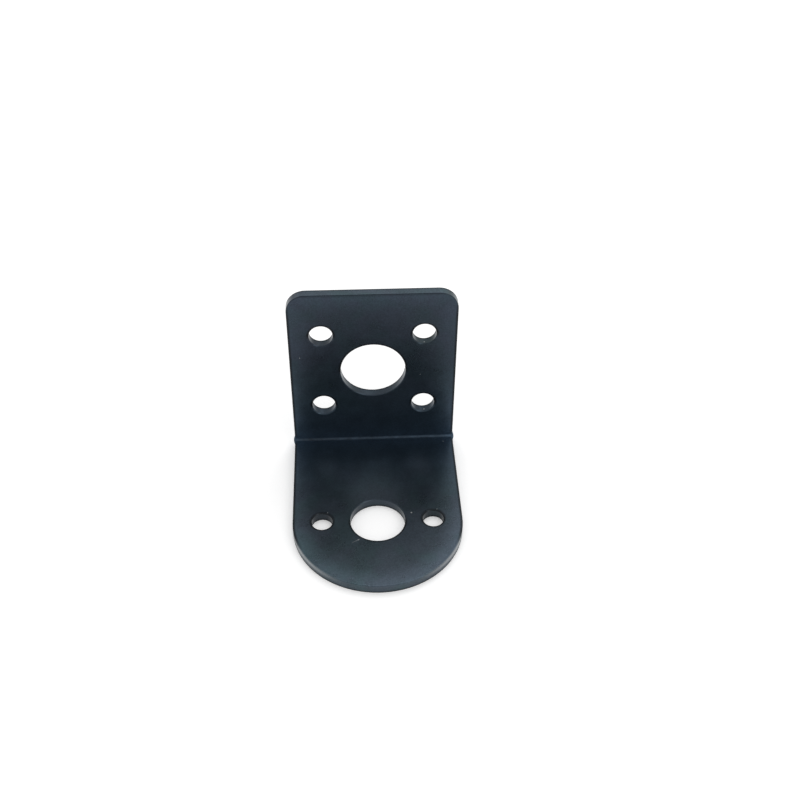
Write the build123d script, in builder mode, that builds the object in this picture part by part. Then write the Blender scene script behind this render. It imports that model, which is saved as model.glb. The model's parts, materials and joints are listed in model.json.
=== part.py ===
from build123d import *

import os

# Angle bracket for a small gear motor: one piece of steel sheet, punched flat
# and folded square. The motor plate lies in XY with the motor's axis on Z and
# its outer face at z = 0. The upright stands at the far end of it, towards +Y.
# All sizes are in millimetres.

# Sheet and fold
sheet = 1.5  # thickness of the sheet
width = 26.0  # across the whole bracket
bend_radius = 0.4  # inside of the fold
upright_distance = 19.8  # motor axis to the outer face of the upright
upright_height = 30.5  # outer face of the motor plate to the top of the upright
corner_radius = 3.0  # top corners of the upright

# Holes of the motor plate
boss_hole = 8.4  # diameter, clears the round boss on the gearbox face
motor_screw_hole = 3.2  # diameter, clears an M3 screw
motor_screw_spacing = 17.0

# Holes of the upright
centre_hole = 10.2  # diameter
fixing_hole = 3.7  # diameter of the four holes around it
fixing_spacing_across = 15.9
fixing_spacing_up = 13.9
fixing_centre_height = 15.9  # outer face of the motor plate to the pattern's centre

# Marks of making: the punch entered on the inside of the fold and left outside
punch_rounding = 0.15  # outline, inside
exit_rounding = 0.12  # outline, outside
punch_break = 0.1  # edges of the two large holes, inside
screw_hole_break = 0.15  # edges of the screw holes, inside
exit_break = 0.08  # hole edges, outside
swell_height = 0.2  # sheet squeezed out sideways at each end of the fold
swell_radius = 1.1

# Places that follow from the sizes above
end_radius = width / 2
upright_inner = upright_distance - sheet


def runs_across(face):
    """Whether a round face has its axis across the bracket, as the fold has."""
    return face.axis_of_rotation.is_parallel(Axis.X)


def is_hole(edge):
    return edge.is_closed


def rim(skin):
    """Edges round a skin of faces and its holes: those that only one face has."""
    face_edges = [edge for face in skin for edge in face.edges()]
    return ShapeList(edge for edge in face_edges if face_edges.count(edge) == 1)


# The folded strip seen from the side: the outer line of the sheet, then its
# thickness towards the inside.
with BuildSketch(Plane.YZ) as section:
    with BuildLine():
        FilletPolyline(
            (-end_radius, 0),
            (upright_distance, 0),
            (upright_distance, upright_height),
            radius=bend_radius + sheet,
        )
        offset(amount=sheet, side=Side.LEFT)
    make_face()

# The swell at one end of the fold: a shallow bell on the side of the sheet,
# kept to where there is sheet.
swell_plane = Plane(origin=(end_radius, upright_inner, sheet), x_dir=(0, 1, 0), z_dir=(0, 0, -1))
with BuildPart() as fold_swell:
    with BuildSketch(swell_plane):
        with BuildLine():
            crown = TangentArc((0, swell_height), (swell_radius / 2, swell_height / 2), tangent=(1, 0))
            TangentArc(crown @ 1, (swell_radius, 0), tangent=crown % 1)
            Polyline((swell_radius, 0), (0, 0), (0, swell_height))
        make_face()
    revolve(axis=Axis(swell_plane.origin, (1, 0, 0)))
    extrude(section.sketch, amount=width, mode=Mode.INTERSECT)

with BuildPart() as motor_bracket:
    extrude(section.sketch, amount=width / 2, both=True)

    # Outline in plan: square at the fold, a half circle about the motor's axis
    with BuildSketch(Plane.XY):
        Circle(end_radius)
        with Locations((0, upright_distance / 2)):
            Rectangle(width, upright_distance)
    extrude(amount=upright_height, mode=Mode.INTERSECT)
    fillet(edges().filter_by(Axis.Y).group_by(Axis.Z)[-1], radius=corner_radius)

    with Locations(Plane.XY.offset(sheet)):
        Hole(boss_hole / 2, depth=sheet)
        with GridLocations(motor_screw_spacing, 0, 2, 1):
            Hole(motor_screw_hole / 2, depth=sheet)

    with Locations(Plane((0, upright_inner, fixing_centre_height), x_dir=(1, 0, 0), z_dir=(0, -1, 0))):
        Hole(centre_hole / 2, depth=sheet)
        with GridLocations(fixing_spacing_across, fixing_spacing_up, 2, 2):
            Hole(fixing_hole / 2, depth=sheet)

    add(fold_swell.part)
    mirror(fold_swell.part, about=Plane.YZ)

    # Edges of the cut sheet: rounded along the outline, broken round the holes
    underside, plate_top = faces().filter_by(Axis.Z).sort_by(Axis.Z)[:2]
    upright_front, upright_back = faces().filter_by(Axis.Y).sort_by(Axis.Y)
    bends = faces().filter_by(GeomType.CYLINDER).filter_by(runs_across)
    inner_bend, outer_bend = bends.sort_by(SortBy.RADIUS)
    punch_rim = rim([plate_top, inner_bend, upright_front])
    exit_rim = rim([underside, outer_bend, upright_back])
    fillet(punch_rim.filter_by(is_hole, reverse=True), radius=punch_rounding)
    fillet(exit_rim.filter_by(is_hole, reverse=True), radius=exit_rounding)
    hole_rims = punch_rim.filter_by(is_hole).sort_by(SortBy.RADIUS)
    chamfer(hole_rims[:6], length=screw_hole_break)
    chamfer(hole_rims[6:], length=punch_break)
    chamfer(exit_rim.filter_by(is_hole), length=exit_break)

motor_bracket.part.label = "motor_bracket"
os.makedirs("parts", exist_ok=True)
export_step(motor_bracket.part, "parts/motor_bracket.step")
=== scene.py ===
import json
import math

import bpy
from mathutils import Matrix, Vector


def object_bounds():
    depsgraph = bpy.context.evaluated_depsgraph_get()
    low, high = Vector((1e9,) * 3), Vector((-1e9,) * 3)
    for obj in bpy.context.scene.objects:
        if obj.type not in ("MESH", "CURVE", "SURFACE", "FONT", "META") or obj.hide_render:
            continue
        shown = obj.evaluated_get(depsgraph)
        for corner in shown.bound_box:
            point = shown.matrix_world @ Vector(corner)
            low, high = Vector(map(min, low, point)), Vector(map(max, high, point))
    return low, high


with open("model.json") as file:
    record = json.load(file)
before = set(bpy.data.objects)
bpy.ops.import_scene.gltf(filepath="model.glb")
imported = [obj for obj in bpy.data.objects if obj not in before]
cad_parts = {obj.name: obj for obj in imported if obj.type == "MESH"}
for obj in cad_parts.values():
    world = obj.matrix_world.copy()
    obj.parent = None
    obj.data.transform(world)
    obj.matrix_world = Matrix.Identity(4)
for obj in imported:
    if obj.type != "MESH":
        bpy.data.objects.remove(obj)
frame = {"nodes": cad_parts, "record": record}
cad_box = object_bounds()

MM = 0.001  # Lengths are in millimetres, and are turned to metres where Blender takes them.

# The camera: what it looks at, and from where
CAMERA_TARGET = (4.26, 18.3, 9.64)
CAMERA_AZIMUTH = 3.25  # degrees; 0 looks along +Y
CAMERA_ELEVATION = 41.09
CAMERA_ROLL = 0.56
CAMERA_DISTANCE = 175.1
CAMERA_LENS = 49.03  # for a sensor this wide
CAMERA_SENSOR = 36

# The studio: a pale surround, soft lamps round the bracket, and a pale floor that glows a little
SURROUND_STRENGTH = 0.7
LAMP_DISTANCE = 600
LAMP_SIZE = 250
LAMPS = (  # azimuth in degrees (0 is straight behind the bracket), elevation, brightness
    (30, 52, 1.5),
    (0, 70, 1.75),
    (135, 40, 1.75),
)
FLOOR_HALF = 1500  # half of its side
FLOOR_COLOR = (0.9, 0.9, 0.9, 1)
FLOOR_ROUGHNESS = 0.8
FLOOR_GLOW = 0.31

# Where the bracket's own surfaces are, from the frame: the motor's axis stands on the origin
MOUNTS = {mount["name"]: mount for mount in frame["record"]["mounts"]}
BOSS_HOLE = MOUNTS["motor_boss_hole"]["dims"]
SCREW_HOLES = MOUNTS["motor_screws"]["dims"]
CENTRE_HOLE = MOUNTS["upright_centre_hole"]["dims"]
FIXING_HOLES = MOUNTS["upright_screws"]["dims"]
SHEET = BOSS_HOLE["length_mm"]  # and the height of the motor plate's upper face
UPRIGHT_INNER = MOUNTS["upright_inner_face"]["pos_m"][1] / MM
UPRIGHT_TOP = cad_box[1].z / MM
HALF_WIDTH = -cad_box[0].y / MM  # as the round end is a half circle about the motor's axis
FIXING_CENTRE = MOUNTS["upright_screws"]["pos_m"][2] / MM

# How far its bend and its broken edges reach into the flats
FOLD_REACH = 0.45  # inside of the fold
PUNCH_ROUNDING = 0.15  # along the outline
LARGE_HOLE_BREAK = 0.1
SMALL_HOLE_BREAK = 0.15

# The coat: satin blue-black on steel, its gloss that of a dark metal
COAT_COLORS = ((0.028, 0.0455, 0.0545, 1), (0.032, 0.0435, 0.0575, 1))  # greener and redder patches
FOLD_SHADE_TINT = (0.026, 0.043, 0.064, 1)  # painted shade tint, bluer towards the fold
FOLD_COLOR_REACH = 18.0
UPRIGHT_PAINTED_SHADE = (0.685, 0.695, 0.775, 1)  # painted shade: a factor on the colour of the upright, away from the fold
PATCH_SIZE = 4.0  # patches of colour
CLOUD_SIZE = 2.5  # patches of brightness
CLOUD_CONTRAST = 0.5
GRAIN_SIZE = 0.2  # its fine grain
GRAIN_CONTRAST = 0.9
GRAIN_DEPTH = 0.02
GRAIN_RELIEF = 0.3
COAT_METALLIC = 0.7
COAT_ROUGHNESS = 0.285
CLOUD_ROUGHNESS = 0.12  # from the smoothest cloud to the roughest
ROUGHER_BY_FOLD = 0.04
ROUGHER_IF_TORN = 0.2

# How the coat changes: factors on its brightness, many of them painted light and shade
BORDER_PAINTED_LIGHT = 1.45  # painted light, paler along the outline
END_PAINTED_LIGHT = 1.3  # and more at the round end and the upright's top
BORDER_WIDTH = 4.0
LESS_BORDER = 0.6  # how much of it is left in walls and high on the upright
PALE_BESIDE_FOLD = 1.4
BESIDE_FOLD_REACH = 4.0
PAINTED_RIM_SHADE = 0.4  # painted shade on broken edges and hole rims
PAINTED_EDGE_SHADE = 0.3  # painted shade on a narrow band of the flat beside them
EDGE_WIDTH = 0.32
SCREW_HOLE_EDGE = 0.7  # how much of that darkness the far half of the screw holes has
TOP_EDGE = 0.35  # and the upright's top edge
FAR_EDGE_SHADE = 0.5  # painted shadow on the last of the walls, where the punch left
SCREW_HOLE_WALL_SHADE = 0.7  # painted shade in the walls of the motor's screw holes
TORN_WALL = 0.6  # the part of a cut edge or hole wall that the punch tore
PAINTED_FOLD_LIGHT = (0.55, 0.8)  # painted shade and highlight inside the fold, at its left and right end
FOLD_STREAK = 1.2  # length of its uneven streaks
PALE_TOP = 1.4  # the cut face on top of the upright

# Where along the bracket, or how far from an edge, a change begins and where it is whole
AT_EDGE = (0.5, 0.3)
ROUND_END_Y = (-3.0, -6.0)
END_BORDER_Y = (3.0, -6.0)
END_BORDER_Z = (21.0, 29.0)
HIGH_Z = (8.0, 18.0)  # the upright's painted shade
TOP_EDGE_Z = (26.0, 29.5)
END_GLINT_X = (5.0, 11.0)
CORNER_Z = (26.5, 28.0)
CORNER_X = (10.5, 12.5)

# Wear and dirt, and a painted glint on the round end's sides
RUB_DUST_AND_GLINT_COLOR = (0.42, 0.44, 0.45, 1)  # coat rubbed to the steel, dust, and the painted glint
END_GLINT = 0.4  # how much of the painted glint, as of the bright floor reflected, lies on the round end's side walls
PALE_CORNER = 0.2  # how much paler the top corners are, as a share of that
SCRATCH_START = (-4.0, -4.5, SHEET)
SCRATCH_END = (-2.9, -3.9, SHEET)
SCRATCH_WIDTH = 0.12
SCRATCH_STRENGTH = 0.3
HOLE_WALL = UPRIGHT_INNER + 0.5  # in the walls of the upright's holes
SPECKS = (  # place and radius
    ((-3.07, -3.96, SHEET), 0.11),
    ((5.22, 1.24, SHEET), 0.16),
    ((11.38, 17.0, SHEET), 0.12),
    ((-7.65, 1.73, SHEET), 0.09),
    ((9.2, 1.82, SHEET), 0.09),
    ((7.95, HOLE_WALL, 20.9), 0.18),
    ((8.2, HOLE_WALL, 7.1), 0.13),
    ((7.4, UPRIGHT_INNER, 14.9), 0.08),
    ((-11.35, UPRIGHT_INNER, 18.8), 0.08),
)

bracket = frame["nodes"]["motor_bracket"]
scene = bpy.context.scene


# Camera, lamps and floor


def look_from(target, azimuth, elevation, roll, distance):
    """Matrix of a camera or lamp that faces target: azimuth 0 looks along +Y, elevation is how steep."""
    turn = Matrix.Rotation(math.radians(-azimuth), 4, "Z")
    tilt = Matrix.Rotation(math.radians(90 - elevation), 4, "X")
    spin = Matrix.Rotation(math.radians(roll), 4, "Z")
    return Matrix.Translation(target) @ turn @ tilt @ Matrix.Translation((0, 0, distance)) @ spin


def make_camera():
    data = bpy.data.cameras.new("camera")
    data.sensor_width = CAMERA_SENSOR
    data.lens = CAMERA_LENS
    camera = bpy.data.objects.new("camera", data)
    target = Vector(CAMERA_TARGET) * MM
    distance = CAMERA_DISTANCE * MM
    camera.matrix_world = look_from(target, CAMERA_AZIMUTH, CAMERA_ELEVATION, CAMERA_ROLL, distance)
    scene.collection.objects.link(camera)
    scene.camera = camera


def make_surround():
    world = bpy.data.worlds.new("surround")
    world.use_nodes = True
    background = world.node_tree.nodes["Background"]
    background.inputs["Color"].default_value = (1, 1, 1, 1)
    background.inputs["Strength"].default_value = SURROUND_STRENGTH
    scene.world = world


def make_lamp(azimuth, elevation, brightness):
    """A square soft lamp that faces the bracket; its brightness is that of its face."""
    light = bpy.data.lights.new("lamp", "AREA")
    light.size = LAMP_SIZE * MM
    light.energy = brightness * math.pi * light.size**2
    lamp = bpy.data.objects.new("lamp", light)
    centre = Vector((0, UPRIGHT_INNER / 2, 0)) * MM
    lamp.matrix_world = look_from(centre, azimuth + 180, elevation, 0, LAMP_DISTANCE * MM)
    scene.collection.objects.link(lamp)


def new_material(name):
    material = bpy.data.materials.new(name)
    material.use_nodes = True
    return material


def make_floor():
    material = new_material("floor")
    shader = material.node_tree.nodes["Principled BSDF"]
    shader.inputs["Base Color"].default_value = FLOOR_COLOR
    shader.inputs["Roughness"].default_value = FLOOR_ROUGHNESS
    shader.inputs["Emission Color"].default_value = (1, 1, 1, 1)
    shader.inputs["Emission Strength"].default_value = FLOOR_GLOW
    mesh = bpy.data.meshes.new("floor")
    half = FLOOR_HALF * MM
    corners = [(-half, -half, 0), (half, -half, 0), (half, half, 0), (-half, half, 0)]
    mesh.from_pydata(corners, [], [(0, 1, 2, 3)])
    mesh.materials.append(material)
    floor = bpy.data.objects.new("floor", mesh)
    scene.collection.objects.link(floor)


# Shader nodes: a value below is a number, a vector or another node's output socket


def add_node(tree, kind, inputs=(), **settings):
    """A shader node with its settings and its inputs by name or number."""
    node = tree.nodes.new(kind)
    for name, value in settings.items():
        setattr(node, name, value)
    for key, value in dict(inputs).items():
        if isinstance(value, bpy.types.NodeSocket):
            tree.links.new(value, node.inputs[key])
        else:
            node.inputs[key].default_value = value
    return node


def calculate(tree, operation, *values, clamp=False):
    """Output of a Math node."""
    node = add_node(tree, "ShaderNodeMath", enumerate(values), operation=operation, use_clamp=clamp)
    return node.outputs["Value"]


def product(tree, first, *others):
    for value in others:
        first = calculate(tree, "MULTIPLY", first, value)
    return first


def outside(tree, mask):
    """1 less the mask."""
    return calculate(tree, "SUBTRACT", 1.0, mask)


def around(tree, middle, noise, contrast):
    """A number about middle that follows the noise over a range of contrast."""
    return calculate(tree, "MULTIPLY_ADD", noise, contrast, middle - contrast / 2)


def vector(tree, operation, *values):
    """Output of a Vector Math node."""
    node = add_node(tree, "ShaderNodeVectorMath", enumerate(values), operation=operation)
    return node.outputs["Value" if operation in ("DISTANCE", "DOT_PRODUCT") else "Vector"]


def scaled(tree, value, factor):
    """A place or a colour times a number."""
    node = add_node(tree, "ShaderNodeVectorMath", {0: value, 3: factor}, operation="SCALE")
    return node.outputs["Vector"]


def parts(tree, value):
    """The x, y and z of a vector."""
    return add_node(tree, "ShaderNodeSeparateXYZ", {"Vector": value}).outputs


def fade(tree, value, start, end):
    """0 where value is at start, 1 at end, smooth between."""
    inputs = {"Value": value, "From Min": start, "From Max": end}
    node = add_node(tree, "ShaderNodeMapRange", inputs, interpolation_type="SMOOTHSTEP")
    return node.outputs["Result"]


def choose(tree, amount, first, second):
    """A number between two: first where amount is 0, second where it is 1."""
    return add_node(tree, "ShaderNodeMix", {"Factor": amount, "A": first, "B": second}).outputs["Result"]


def blend(tree, amount, first, second):
    """A colour between two: first where amount is 0, second where it is 1."""
    inputs = {"Factor": amount, 6: first, 7: second}
    return add_node(tree, "ShaderNodeMix", inputs, data_type="RGBA").outputs[2]


def cloud(tree, place, size, detail=2.0):
    """Noise from 0 to 1, about 0.5, with lumps of the given size."""
    inputs = {"Vector": place, "Scale": 1 / size, "Detail": detail}
    return add_node(tree, "ShaderNodeTexNoise", inputs).outputs["Fac"]


def near_point(tree, place, point, radius):
    """1 at a point, fading to 0 at radius from it."""
    return fade(tree, vector(tree, "DISTANCE", place, point), radius, radius * 0.4)


def near_line(tree, place, start, end, width):
    """1 along a straight stroke that widens towards its end."""
    start, end = Vector(start), Vector(end)
    along = end - start
    from_start = vector(tree, "SUBTRACT", place, start)
    reach = vector(tree, "DOT_PRODUCT", from_start, along)
    part = calculate(tree, "DIVIDE", reach, along.length_squared, clamp=True)
    away = vector(tree, "DISTANCE", from_start, scaled(tree, along, part))
    half = calculate(tree, "MULTIPLY_ADD", part, width * 0.3, width * 0.2)
    return fade(tree, calculate(tree, "DIVIDE", away, half), 1.6, 0.6)


def beside_circle(tree, across, along, radius):
    """Distance to a circle from outside it."""
    square = calculate(tree, "ADD", product(tree, across, across), product(tree, along, along))
    return calculate(tree, "SUBTRACT", calculate(tree, "SQRT", square), radius)


def surface_masks(tree, place, facing):
    """Masks by name, and the place across the bracket; facing is the surface's normal."""
    x, y, z = parts(tree, place)
    facing_y, facing_z = parts(tree, facing)[1:]
    sideways = calculate(tree, "ABSOLUTE", x)
    fold_top = SHEET + FOLD_REACH
    on_upright = calculate(tree, "GREATER_THAN", z, fold_top)
    on_plate = outside(tree, on_upright)
    at_upright = calculate(tree, "GREATER_THAN", y, UPRIGHT_INNER - FOLD_REACH)
    in_fold = product(tree, calculate(tree, "LESS_THAN", z, fold_top), at_upright)
    over_plate = calculate(tree, "SUBTRACT", z, SHEET)
    from_fold = calculate(tree, "ADD", calculate(tree, "SUBTRACT", UPRIGHT_INNER, y), over_plate)

    # How flat on its plate the surface is, 1 on a face and 0 in a wall, and how deep in the sheet, counted
    # from the side that the punch entered
    flat = calculate(tree, "ABSOLUTE", choose(tree, on_upright, facing_z, facing_y))
    flat = calculate(tree, "MAXIMUM", flat, in_fold)
    wall = fade(tree, flat, 0.3, 0.1)
    rim = product(tree, fade(tree, flat, 0.1, 0.3), fade(tree, flat, 0.99, 0.9))
    into_plate = calculate(tree, "SUBTRACT", SHEET, z)
    into_upright = calculate(tree, "SUBTRACT", y, UPRIGHT_INNER)
    depth = calculate(tree, "DIVIDE", choose(tree, on_upright, into_plate, into_upright), SHEET)

    # Distance from the outline: a half circle about the motor's axis, straight sides, the upright's top
    past_round_end = beside_circle(tree, x, calculate(tree, "MINIMUM", y, 0.0), HALF_WIDTH)
    below_top = calculate(tree, "SUBTRACT", UPRIGHT_TOP, z)
    from_outline = calculate(tree, "MINIMUM", product(tree, past_round_end, -1.0), below_top)
    at_outline = fade(tree, from_outline, *AT_EDGE)

    # Distance from the holes' rims; the holes stand alike on the left and the right
    from_screw = calculate(tree, "SUBTRACT", sideways, SCREW_HOLES["spacing_x_mm"] / 2)
    from_fixing = calculate(tree, "SUBTRACT", sideways, FIXING_HOLES["spacing_x_mm"] / 2)
    up = calculate(tree, "SUBTRACT", z, FIXING_CENTRE)
    over = calculate(tree, "SUBTRACT", calculate(tree, "ABSOLUTE", up), FIXING_HOLES["spacing_y_mm"] / 2)
    from_boss_hole = beside_circle(tree, x, y, BOSS_HOLE["r_mm"] + LARGE_HOLE_BREAK)
    from_screw_hole = beside_circle(tree, from_screw, y, SCREW_HOLES["hole_r_mm"] + SMALL_HOLE_BREAK)
    from_centre_hole = beside_circle(tree, x, up, CENTRE_HOLE["r_mm"] + LARGE_HOLE_BREAK)
    from_fixing_hole = beside_circle(tree, from_fixing, over, FIXING_HOLES["hole_r_mm"] + SMALL_HOLE_BREAK)
    from_hole = choose(
        tree,
        on_upright,
        calculate(tree, "MINIMUM", from_boss_hole, from_screw_hole),
        calculate(tree, "MINIMUM", from_centre_hole, from_fixing_hole),
    )
    at_screw_hole = product(tree, fade(tree, from_screw_hole, *AT_EDGE), on_plate)

    # Which edges get painted shade: the boss hole's front half, the screw holes, the top half of the
    # upright's holes, and the outline, but less on the upright's top and not at the round end's smooth
    # upper edge or the fold's ends
    at_fixing_hole = calculate(tree, "LESS_THAN", from_fixing_hole, from_centre_hole)
    above = choose(tree, at_fixing_hole, up, product(tree, over, calculate(tree, "SIGN", up)))
    dark_screw_hole = product(tree, at_screw_hole, SCREW_HOLE_EDGE)
    dark_half = choose(
        tree,
        on_upright,
        calculate(tree, "MAXIMUM", dark_screw_hole, fade(tree, y, 1.0, -1.0)),
        fade(tree, above, -0.8, 0.4),
    )
    dark_half = choose(tree, fade(tree, from_hole, 0.8, 0.6), 1.0, dark_half)
    round_end = product(tree, fade(tree, y, *ROUND_END_Y), on_plate)
    smooth_end = product(tree, round_end, fade(tree, depth, 0.6, 0.3), at_outline)
    top_edge = product(tree, fade(tree, z, *TOP_EDGE_Z), fade(tree, depth, 0.6, 0.4))
    less_at_top = choose(tree, top_edge, 1.0, TOP_EDGE)
    off_fold = fade(tree, from_fold, 0.2, 1.2)
    dark_edge = product(tree, dark_half, less_at_top, outside(tree, smooth_end), off_fold)
    from_rounding = calculate(tree, "SUBTRACT", from_outline, PUNCH_ROUNDING)
    from_edge = calculate(tree, "MINIMUM", from_rounding, from_hole)
    at_edge = fade(tree, from_edge, EDGE_WIDTH, EDGE_WIDTH * 0.3)

    # A painted glint on the round end's side walls, and paler top corners
    end_glint = product(tree, smooth_end, fade(tree, sideways, *END_GLINT_X))
    at_corner = product(tree, fade(tree, z, *CORNER_Z), fade(tree, sideways, *CORNER_X))
    corner = product(tree, at_corner, at_outline, PALE_CORNER)
    not_flat = calculate(tree, "MAXIMUM", wall, rim)
    worn = product(tree, calculate(tree, "MAXIMUM", end_glint, corner), not_flat)

    # The part of the upright with its painted shade, the border of painted light along the outline, and
    # how much the surface faces up and forward at once, as the fold's inside does
    high = product(tree, fade(tree, z, *HIGH_Z), outside(tree, wall))
    less_in_walls = choose(tree, wall, 1.0, LESS_BORDER)
    less_if_high = choose(tree, high, 1.0, LESS_BORDER)
    border = product(tree, fade(tree, from_outline, BORDER_WIDTH, 0.0), less_in_walls, less_if_high)
    to_end = calculate(tree, "MAXIMUM", fade(tree, y, *END_BORDER_Y), fade(tree, z, *END_BORDER_Z))
    slant = calculate(
        tree, "MINIMUM", calculate(tree, "ABSOLUTE", facing_y), calculate(tree, "ABSOLUTE", facing_z)
    )
    return {
        "across": x,
        "in bend": product(tree, in_fold, fade(tree, slant, 0.1, 0.4)),
        "near fold": fade(tree, from_fold, FOLD_COLOR_REACH, 0.0),
        "beside fold": fade(tree, from_fold, BESIDE_FOLD_REACH, 0.0),
        "high": high,
        "torn": product(tree, wall, fade(tree, depth, 0.6, 0.85)),
        "rim": product(tree, rim, dark_edge),
        "edge": product(tree, at_edge, outside(tree, wall), dark_edge),
        "screw hole wall": product(tree, wall, at_screw_hole),
        "worn": worn,
        "far edge": product(tree, fade(tree, flat, 0.98, 0.9), fade(tree, depth, 0.8, 0.92)),
        "top": product(tree, wall, fade(tree, z, UPRIGHT_TOP - 0.5, UPRIGHT_TOP - 0.2)),
        "border": border,
        "end border": product(tree, border, to_end),
    }


def make_coat():
    material = new_material("black_coat")
    tree = material.node_tree
    shader = tree.nodes["Principled BSDF"]
    shader.inputs["Metallic"].default_value = COAT_METALLIC

    coordinates = add_node(tree, "ShaderNodeTexCoord").outputs
    place = scaled(tree, coordinates["Object"], 1 / MM)
    masks = surface_masks(tree, place, coordinates["Normal"])
    clouds = cloud(tree, place, CLOUD_SIZE, detail=4.0)
    grain = cloud(tree, place, GRAIN_SIZE, detail=3.0)
    patches = fade(tree, cloud(tree, place, PATCH_SIZE), 0.35, 0.65)

    # Painted shade and highlight inside the fold, from its left to its right end, in uneven streaks
    along_fold = fade(tree, masks["across"], -HALF_WIDTH, HALF_WIDTH)
    streaks = product(tree, cloud(tree, place, FOLD_STREAK, detail=3.0), 2.0)
    painted_fold_light = product(tree, choose(tree, along_fold, *PAINTED_FOLD_LIGHT), streaks)

    # Brightness of the coat: clouds and grain, then the painted light of the border, painted shade on the
    # edges and walls of the cuts, and the torn walls' own dullness
    bright = product(
        tree, around(tree, 1.0, clouds, CLOUD_CONTRAST), around(tree, 1.0, grain, GRAIN_CONTRAST)
    )
    for mask, factor in (
        ("beside fold", PALE_BESIDE_FOLD),
        ("border", BORDER_PAINTED_LIGHT),
        ("end border", END_PAINTED_LIGHT),
        ("rim", PAINTED_RIM_SHADE),
        ("edge", PAINTED_EDGE_SHADE),
        ("torn", TORN_WALL),
        ("screw hole wall", SCREW_HOLE_WALL_SHADE),
        ("in bend", painted_fold_light),
        ("top", PALE_TOP),
        ("far edge", FAR_EDGE_SHADE),
    ):
        bright = product(tree, bright, choose(tree, masks[mask], 1.0, factor))
    # The coat's colour in patches, turning to a painted shade tint, bluer, towards the fold
    color = blend(tree, masks["near fold"], blend(tree, patches, *COAT_COLORS), FOLD_SHADE_TINT)
    color = scaled(tree, color, bright)
    # Painted shade on the upright, away from the fold
    color = vector(tree, "MULTIPLY", color, blend(tree, masks["high"], (1, 1, 1, 1), UPRIGHT_PAINTED_SHADE))

    # What is rubbed through it, dust, and the painted glint on the round end's sides
    rub_and_glint = near_line(tree, place, SCRATCH_START, SCRATCH_END, SCRATCH_WIDTH)
    rub_and_glint = product(tree, rub_and_glint, SCRATCH_STRENGTH)
    rub_and_glint = calculate(tree, "MAXIMUM", rub_and_glint, product(tree, masks["worn"], END_GLINT))
    for speck, radius in SPECKS:
        rub_and_glint = calculate(tree, "MAXIMUM", rub_and_glint, near_point(tree, place, speck, radius))
    tree.links.new(blend(tree, rub_and_glint, color, RUB_DUST_AND_GLINT_COLOR), shader.inputs["Base Color"])

    # Gloss: uneven with the clouds, duller by the fold and where the punch tore the sheet
    roughness = around(tree, COAT_ROUGHNESS, clouds, CLOUD_ROUGHNESS)
    roughness = calculate(tree, "MULTIPLY_ADD", masks["near fold"], ROUGHER_BY_FOLD, roughness)
    roughness = calculate(tree, "MULTIPLY_ADD", masks["torn"], ROUGHER_IF_TORN, roughness)
    tree.links.new(roughness, shader.inputs["Roughness"])

    # Relief: the grain, as of a thin coat on rolled steel
    relief = {"Height": grain, "Strength": GRAIN_RELIEF, "Distance": GRAIN_DEPTH * MM}
    bump = add_node(tree, "ShaderNodeBump", relief)
    tree.links.new(bump.outputs["Normal"], shader.inputs["Normal"])
    return material


make_camera()
make_surround()
for lamp in LAMPS:
    make_lamp(*lamp)
make_floor()
coat = make_coat()
for slot in bracket.material_slots:
    slot.material = coat
scene.view_settings.view_transform = "Standard"
